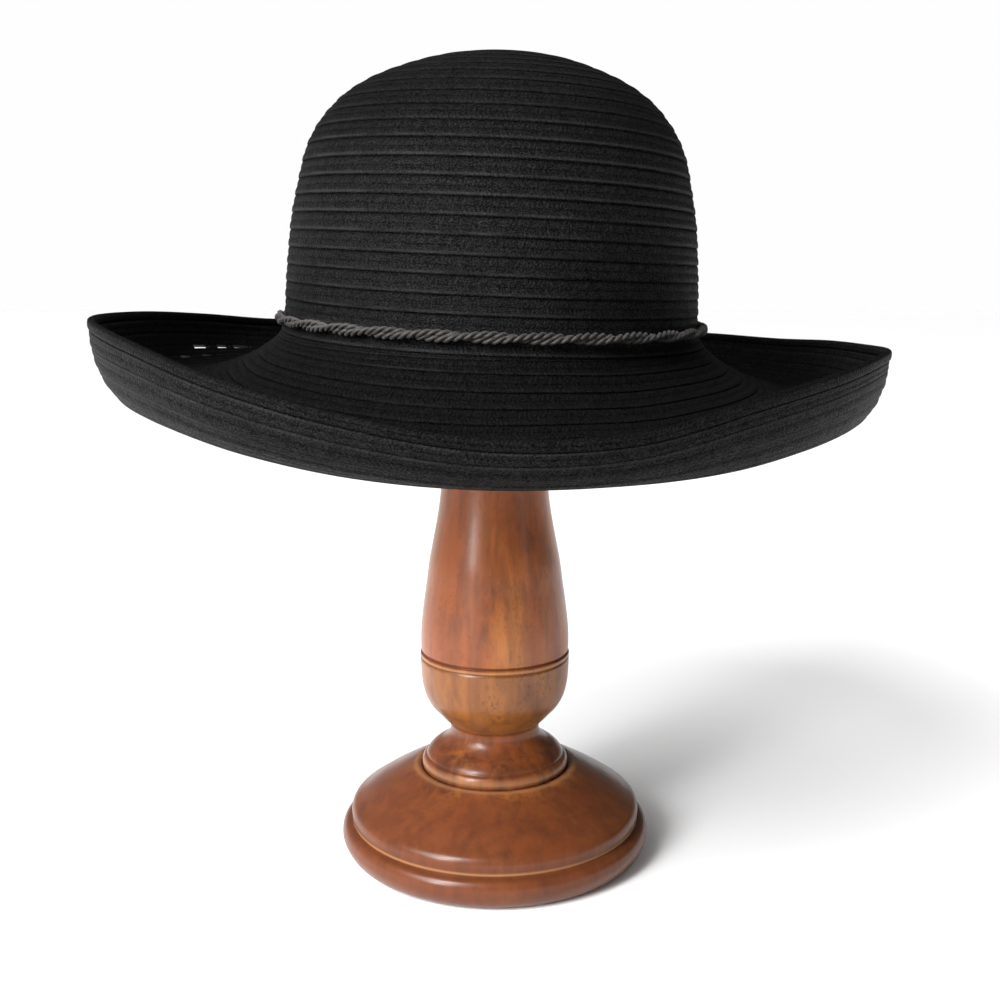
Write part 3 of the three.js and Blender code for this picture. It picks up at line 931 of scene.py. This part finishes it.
class STAND_OT_spindle(bpy.types.Operator):
    """Turns the spindle: collar, neck, cup with its groove, and the column that goes up into the hat"""

    bl_idname = "stand.spindle"
    bl_label = "Turned spindle"

    def execute(self, context):
        sizes = context.scene.stand_sizes
        r = sizes.spindle_radius / CUP_RADIUS
        tenon_foot, seat, shoulder, tenon_top = 14.4, 36.75, 297.25, 317.25
        spans = (
            ((0.0, tenon_foot), (TENON_RADIUS, tenon_foot)),
            ((TENON_RADIUS, tenon_foot), (TENON_RADIUS, seat)),
            ((TENON_RADIUS, seat), (32.3, seat)),
            ((32.3, seat), (32.65, 37.2), (32.8, 38.2), (32.8, 39.6), (32.3, 41.2), (31.6, 42.1)),
            ((31.6, 42.1), (31.1, 42.4), (30.7, 42.8)),
            (
                (30.7, 42.8),
                (30.2, 43.9),
                (29.1, 45.2),
                (27.5, 46.6),
                (25.6, 47.7),
                (23.9, 48.6),
                (21.9, 50.3),
                (20.4, 52.4),
                (19.8, 54.5),
                (19.9, 56.4),
                (20.4, 57.4),
            ),
            ((20.4, 57.4), (20.8, 57.8), (21.3, 58.6)),
            (
                (21.3, 58.6),
                (23.3 * r, 60.5),
                (25.5 * r, 63.0),
                (28.7 * r, 66.6),
                (31.1 * r, 71.2),
                (32.5 * r, 77.0),
                (33.0 * r, 83.0),
                (33.2 * r, 87.6),
            ),
            ((33.2 * r, 87.6), (32.7 * r, 88.3)),
            ((32.7 * r, 88.3), (33.2 * r, 89.2), (33.1 * r, 90.2)),
            ((33.1 * r, 90.2), (32.2 * r, 90.9), (32.8 * r, 91.8)),
            (
                (32.8 * r, 91.8),
                (32.9 * r, 96.0),
                (32.6 * r, 103.0),
                (31.4 * r, 113.4),
                (30.1 * r, 122.4),
                (28.9 * r, 131.3),
                (27.2 * r, 140.2),
                (25.5 * r, 149.1),
                (24.1 * r, 158.0),
                (22.9 * r, 170.0),
                (21.4 * r, 195.0),
                (20.3 * r, 225.0),
                (20.0 * r, 262.0),
                (20.6 * r, 280.0),
                (22.5 * r, shoulder),
            ),
            ((22.5 * r, shoulder), (TENON_RADIUS, shoulder)),
            ((TENON_RADIUS, shoulder), (TENON_RADIUS, tenon_top)),
            ((TENON_RADIUS, tenon_top), (0.0, tenon_top)),
        )
        # Painted highlights on the collar's bead and on a ridge in the cup's groove; painted shade in the
        # creases, under the shoulder and in the cup's groove
        lines = (
            (32.5, 36.9, 0.5, -0.15),
            (32.7, 40.0, 1.6, 0.4),
            (30.9, 42.7, 0.6, -0.35),
            (30.0, 45.0, 2.4, -0.35),
            (20.6, 57.6, 0.7, -0.6),
            (32.7 * r, 88.3, 0.3, -0.3),
            (33.2 * r, 89.4, 0.5, 0.5),
            (32.3 * r, 90.9, 0.4, -0.9),
        )
        turned_piece("stand_column", spans, sizes, lines, "stand_spindle")
        return {"FINISHED"}


class STAND_OT_knob(bpy.types.Operator):
    """Turns the plain round knob that carries the crown from inside"""

    bl_idname = "stand.knob"
    bl_label = "Turned knob"

    def execute(self, context):
        sizes = context.scene.stand_sizes
        r = sizes.knob_radius / KNOB_RADIUS
        low, socket = 297.6, 20.35
        spans = (
            ((0.0, low + socket), (SOCKET_RADIUS, low + socket)),
            ((SOCKET_RADIUS, low + socket), (SOCKET_RADIUS, low)),
            ((SOCKET_RADIUS, low), (42.2 * r, low)),
            (
                (42.2 * r, low),
                (46.0 * r, low + 2.4),
                (48.0 * r, low + 8.0),
                (47.2 * r, low + 15.5),
                (43.2 * r, low + 24.0),
                (36.0 * r, low + 31.5),
                (25.4 * r, low + 37.6),
                (13.0 * r, low + 41.6),
                (0.0, low + 43.1),
            ),
        )
        turned_piece("stand_head", spans, sizes, (), "stand_knob")
        return {"FINISHED"}


class HAT_OT_crown(bpy.types.Operator):
    """Sews the crown: one spiral of braid from the apex to one row under the cord"""

    bl_idname = "hat.crown"
    bl_label = "Braid crown"

    def execute(self, context):
        sizes = context.scene.hat_sizes
        end = crown_track(sizes).total + sizes.row_pitch - SEAM_GAP

        def side(s):
            return np.zeros(s.shape)

        braid_wall("hat_crown", sizes, 0.0, end, CROWN_COLUMNS, True, side, Spiral.COARSE, "crown")
        return {"FINISHED"}


class HAT_OT_brim(bpy.types.Operator):
    """Sews the brim: braid rows that flare out of the crown and turn up to the edge braid"""

    bl_idname = "hat.brim"
    bl_label = "Braid brim"

    def execute(self, context):
        sizes = context.scene.hat_sizes
        total = crown_track(sizes).total
        brim_length = BRIM_ROWS * sizes.row_pitch
        start = total + sizes.row_pitch + SEAM_GAP
        end = total + brim_length - sizes.edge_width - EDGE_GAP

        def side(s):
            return smoothstep((s - total) / brim_length, *SIDE_TURN)

        braid_wall("hat_brim", sizes, start, end, BRIM_COLUMNS, False, side, Spiral.FINE, "brim", SLITS)
        return {"FINISHED"}


class HAT_OT_edge(bpy.types.Operator):
    """Folds the edge braid over the rim"""

    bl_idname = "hat.edge"
    bl_label = "Edge braid"

    def execute(self, context):
        sizes = context.scene.hat_sizes
        sides, squareness = 20, 0.75
        phis = [2 * math.pi * i / EDGE_COLUMNS for i in range(EDGE_COLUMNS + 1)]
        a = np.linspace(0, 2 * math.pi, sides + 1)

        def squared(v):
            return np.sign(v) * np.abs(v) ** squareness

        tangent = sizes.edge_width / 2 * squared(np.cos(a))
        lift = sizes.wall / 2 + sizes.edge_thickness / 2 * squared(np.sin(a))
        brim_length = BRIM_ROWS * sizes.row_pitch
        u = 1 - sizes.edge_width / 2 / brim_length
        points = []
        for phi in phis:
            track = brim_track(phi, sizes)
            (out, height), (nx, nz) = track.at(u), track.normal(u)
            reach = tangent * track.total / brim_length
            across_rim = out + nz * reach + nx * lift
            up_rim = height - nx * reach + nz * lift
            points.append(oval_points(np.full(a.shape, phi), 1.0, across_rim, up_rim, sizes))
        girth = oval_girth(sizes.crown_half_width, sizes.crown_half_length) + 2 * math.pi * sizes.brim_width
        stitches = round(girth / sizes.stitch)
        along = np.array([np.full(sides, stitches * phi / (2 * math.pi)) for phi in phis])
        share = (a / math.pi) % 1.0
        pairs = np.stack([share[:-1], np.where(share[1:] == 0.0, 1.0, share[1:])], axis=-1)
        across = np.array([pairs for _ in phis])
        bm = grid_piece(place_on_stand(np.array(points)), along, across)
        # Painted shade: the edge braid is shaded a little more than the brim
        shade = bm.verts.layers.float["shade"]
        for v in bm.verts:
            v[shade] *= EDGE_SHADE
        material = shared_material("black_sewn_braid_brim", brim_braid_material, context.scene.hat_colours)
        finish_piece(bm, "hat_edge_braid", material, replaces=("brim_edge",))
        return {"FINISHED"}


class HAT_OT_cord(bpy.types.Operator):
    """Winds two thin twisted cords round each other and round the foot of the crown"""

    bl_idname = "hat.cord"
    bl_label = "Twisted cord"

    def execute(self, context):
        sizes = context.scene.hat_sizes
        steps, crossings, twists = 900, 15, 84
        gap, half_width, height, wind_out, overlap = 0.35, 1.7, 0.9, 0.55, 1.02
        radius = sizes.strand_radius
        centre_out = sizes.row_step + gap + half_width
        phi = 2 * math.pi * np.arange(steps) / steps
        bm = bmesh.new()
        for cord in range(2):
            for strand in range(2):
                turn = crossings * phi + cord * math.pi
                twist = twists * phi + strand * math.pi
                out = centre_out + wind_out * np.cos(turn) + radius * np.cos(twist)
                up = height + np.sin(turn) + radius * np.sin(twist)
                add_strand(bm, oval_points(phi, 1.0, out, up, sizes), radius * overlap)
        bmesh.ops.recalc_face_normals(bm, faces=bm.faces)
        material = shared_material("grey_twisted_cord", cord_material, context.scene.hat_colours)
        finish_piece(bm, "hat_cord", material, replaces=("cord_band",))
        return {"FINISHED"}


def add_strand(bm, route, radius, sides=7, weld=1e-6):
    """A closed strand: a small circle carried round the route, which runs into its start"""
    centres = place_on_stand(route)
    ahead = np.roll(centres, -1, axis=0) - np.roll(centres, 1, axis=0)
    angles = 2 * math.pi * np.arange(sides + 1) / sides
    circle = radius * MM * np.stack([-np.sin(angles), np.cos(angles)], axis=-1)
    rings = []
    for centre, direction in zip(centres, ahead):
        forward = Vector(direction).normalized()
        side = forward.cross(Vector((0, 0, 1))).normalized()
        up = side.cross(forward)
        rings.append(centre + circle @ np.array((side, up)))
    place = laid_grid(bm, np.array(rings + rings[:1]))
    bmesh.ops.remove_doubles(bm, verts=list(place), dist=weld)


class STUDIO_OT_set(bpy.types.Operator):
    """Sets the white floor, the soft lights and the camera"""

    bl_idname = "studio.set_up"
    bl_label = "Studio"

    def execute(self, context):
        scene = context.scene
        bm = bmesh.new()
        bmesh.ops.create_grid(bm, x_segments=1, y_segments=1, size=FLOOR_SIZE)
        mesh = bpy.data.meshes.new("studio_floor")
        bm.to_mesh(mesh)
        bm.free()
        mesh.materials.append(floor_material())
        floor = bpy.data.objects.new("studio_floor", mesh)
        floor.location.z = -FLOOR_DROP
        scene.collection.objects.link(floor)

        world = bpy.data.worlds.new("white_studio")
        world.use_nodes = True
        self.light_room(world.node_tree)
        scene.world = world
        scene.view_settings.view_transform = "Standard"

        for soft_light in SOFT_LIGHTS:
            self.add_soft_light(scene, *soft_light)
        sun = bpy.data.lights.new("even_daylight", "SUN")
        sun.energy = DAYLIGHT_POWER
        sun.angle = math.radians(DAYLIGHT_ANGLE)
        lamp = bpy.data.objects.new("even_daylight", sun)
        lamp.rotation_euler = DAYLIGHT_WAY.to_track_quat("-Z", "Y").to_euler()
        scene.collection.objects.link(lamp)

        camera = bpy.data.objects.new("camera", bpy.data.cameras.new("camera"))
        camera.data.lens = LENS
        camera.data.sensor_width = SENSOR
        camera.location = CAMERA_PLACE
        camera.rotation_euler = (math.radians(90.0 - CAMERA_TILT), 0.0, 0.0)
        camera.data.clip_start = 0.01
        scene.collection.objects.link(camera)
        scene.camera = camera
        return {"FINISHED"}

    def light_room(self, tree):
        """White backdrop; most of the room's light comes from the left, and gloss mirrors a darker room"""
        way = shader_node(tree, "ShaderNodeSeparateXYZ")
        tree.links.new(shader_node(tree, "ShaderNodeTexCoord").outputs["Generated"], way.inputs[0])
        leftward = math_node(tree, "POWER", times_plus(tree, way.outputs[0], -0.5, 0.5), 1.6)
        low = inverse(tree, math_node(tree, "MAXIMUM", way.outputs[2], 0.0))
        mirrored = times(tree, leftward, math_node(tree, "POWER", low, 1.6))
        mirrored = times_plus(tree, mirrored, 0.55, 0.05)
        soft = times_plus(tree, leftward, 1.25, 0.06)
        light_path = shader_node(tree, "ShaderNodeLightPath")
        which = shader_node(tree, "ShaderNodeMix")
        tree.links.new(light_path.outputs["Is Glossy Ray"], which.inputs[0])
        tree.links.new(soft, which.inputs[2])
        tree.links.new(mirrored, which.inputs[3])
        room = tree.nodes["Background"]
        room.inputs["Color"].default_value = (1.0, 1.0, 1.0, 1.0)
        tree.links.new(which.outputs[0], room.inputs["Strength"])
        seen = shader_node(tree, "ShaderNodeBackground")
        seen.inputs["Color"].default_value = (1.0, 1.0, 1.0, 1.0)
        seen.inputs["Strength"].default_value = 0.99
        pick = shader_node(tree, "ShaderNodeMixShader")
        tree.links.new(light_path.outputs["Is Camera Ray"], pick.inputs[0])
        tree.links.new(room.outputs[0], pick.inputs[1])
        tree.links.new(seen.outputs[0], pick.inputs[2])
        tree.links.new(pick.outputs[0], tree.nodes["World Output"].inputs["Surface"])

    def add_soft_light(self, scene, name, place, width, height, power):
        light = bpy.data.lights.new(name, "AREA")
        light.shape = "RECTANGLE"
        light.size = width
        light.size_y = height
        light.energy = power
        lamp = bpy.data.objects.new(name, light)
        lamp.location = place
        lamp.rotation_euler = (LIGHT_AIM - Vector(place)).to_track_quat("-Z", "Y").to_euler()
        scene.collection.objects.link(lamp)


class HAT_PT_panel(bpy.types.Panel):
    """Lists the pieces of the hat and the stand"""

    bl_label = "Sun hat"
    bl_space_type = "VIEW_3D"
    bl_region_type = "UI"
    bl_category = "Sun hat"

    def draw(self, context):
        for operator in PIECES:
            self.layout.operator(operator.bl_idname)
        for group in ("hat_sizes", "hat_colours", "stand_sizes", "stand_colours"):
            settings = getattr(context.scene, group)
            for key in settings.bl_rna.properties.keys():
                if key not in ("rna_type", "name"):
                    self.layout.prop(settings, key)


GROUPS = {
    "hat_sizes": HatSizes,
    "hat_colours": HatColours,
    "stand_sizes": StandSizes,
    "stand_colours": StandColours,
}
PIECES = (
    STUDIO_OT_set,
    STAND_OT_base,
    STAND_OT_spindle,
    STAND_OT_knob,
    HAT_OT_crown,
    HAT_OT_brim,
    HAT_OT_edge,
    HAT_OT_cord,
)


def register():
    for cls in (*GROUPS.values(), *PIECES, HAT_PT_panel):
        bpy.utils.register_class(cls)
    for name, cls in GROUPS.items():
        setattr(bpy.types.Scene, name, bpy.props.PointerProperty(type=cls))


def unregister():
    for name in GROUPS:
        delattr(bpy.types.Scene, name)
    for cls in (HAT_PT_panel, *reversed(PIECES), *reversed(tuple(GROUPS.values()))):
        bpy.utils.unregister_class(cls)


def main():
    register()
    bpy.ops.studio.set_up()
    bpy.ops.stand.base()
    bpy.ops.stand.spindle()
    bpy.ops.stand.knob()
    bpy.ops.hat.crown()
    bpy.ops.hat.brim()
    bpy.ops.hat.edge()
    bpy.ops.hat.cord()


if __name__ == "__main__":
    main()
